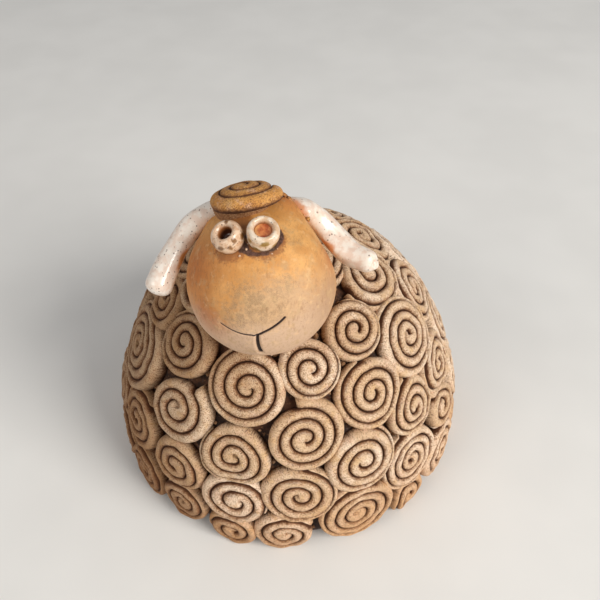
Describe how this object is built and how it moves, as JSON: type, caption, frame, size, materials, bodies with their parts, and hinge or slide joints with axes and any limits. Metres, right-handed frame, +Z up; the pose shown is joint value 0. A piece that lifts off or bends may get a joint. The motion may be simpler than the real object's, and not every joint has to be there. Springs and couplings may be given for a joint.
{
  "type": "ceramic sheep figurine",
  "caption": "Hand-built stoneware sheep: a hollow dome covered in rolled spiral clay curls, with a ball head, ring bead eyes, a curl topknot and hanging glazed ears.",
  "frame": {"origin": "on the table, under the middle of the dome's rim", "axes": "+Z up; the sheep's face looks towards -Y; +X is to the right when facing it"},
  "size_m": [0.092, 0.092, 0.0869],
  "materials": {
    "dome_clay": "unglazed stoneware stained with dark brown oxide wash",
    "curl_clay": "unglazed buff stoneware, brown oxide wash in the grooves",
    "head_clay": "smooth unglazed buff stoneware with ochre stain",
    "topknot_clay": "grainy ochre stoneware with dark wash in the groove",
    "ear_glaze": "glossy pinkish white glaze with dark specks",
    "eye_glaze": "glossy white glaze with brown speckle"
  },
  "bodies": {
    "root": {"body_shell": "dome_clay", "neck_collar": "dome_clay", "head_ball": "head_clay", "topknot_curl": "topknot_clay", "ear_left": "ear_glaze", "ear_right": "ear_glaze", "eye_left": "eye_glaze", "eye_right": "eye_glaze", "base_row_curls": "curl_clay", "crown_curls": "curl_clay", "lower_curl_01": "curl_clay", "lower_curl_02": "curl_clay", "lower_curl_03": "curl_clay", "lower_curl_04": "curl_clay", "lower_curl_05": "curl_clay", "lower_curl_06": "curl_clay", "lower_curl_07": "curl_clay", "lower_curl_08": "curl_clay", "lower_curl_09": "curl_clay", "lower_curl_10": "curl_clay", "lower_curl_11": "curl_clay", "lower_curl_12": "curl_clay", "lower_curl_13": "curl_clay", "lower_curl_14": "curl_clay", "lower_curl_15": "curl_clay", "lower_curl_16": "curl_clay", "middle_curl_01": "curl_clay", "middle_curl_02": "curl_clay", "middle_curl_03": "curl_clay", "middle_curl_04": "curl_clay", "middle_curl_05": "curl_clay", "middle_curl_06": "curl_clay", "middle_curl_07": "curl_clay", "middle_curl_08": "curl_clay", "middle_curl_09": "curl_clay", "middle_curl_10": "curl_clay", "middle_curl_11": "curl_clay", "middle_curl_12": "curl_clay", "middle_curl_13": "curl_clay", "middle_curl_14": "curl_clay", "middle_curl_15": "curl_clay", "shoulder_curl_01": "curl_clay", "shoulder_curl_02": "curl_clay", "shoulder_curl_03": "curl_clay", "shoulder_curl_04": "curl_clay", "shoulder_curl_05": "curl_clay", "shoulder_curl_06": "curl_clay", "shoulder_curl_07": "curl_clay", "shoulder_curl_08": "curl_clay", "shoulder_curl_09": "curl_clay", "shoulder_curl_10": "curl_clay", "shoulder_curl_11": "curl_clay", "shoulder_curl_12": "curl_clay", "shoulder_curl_13": "curl_clay"}
  },
  "joints": []
}
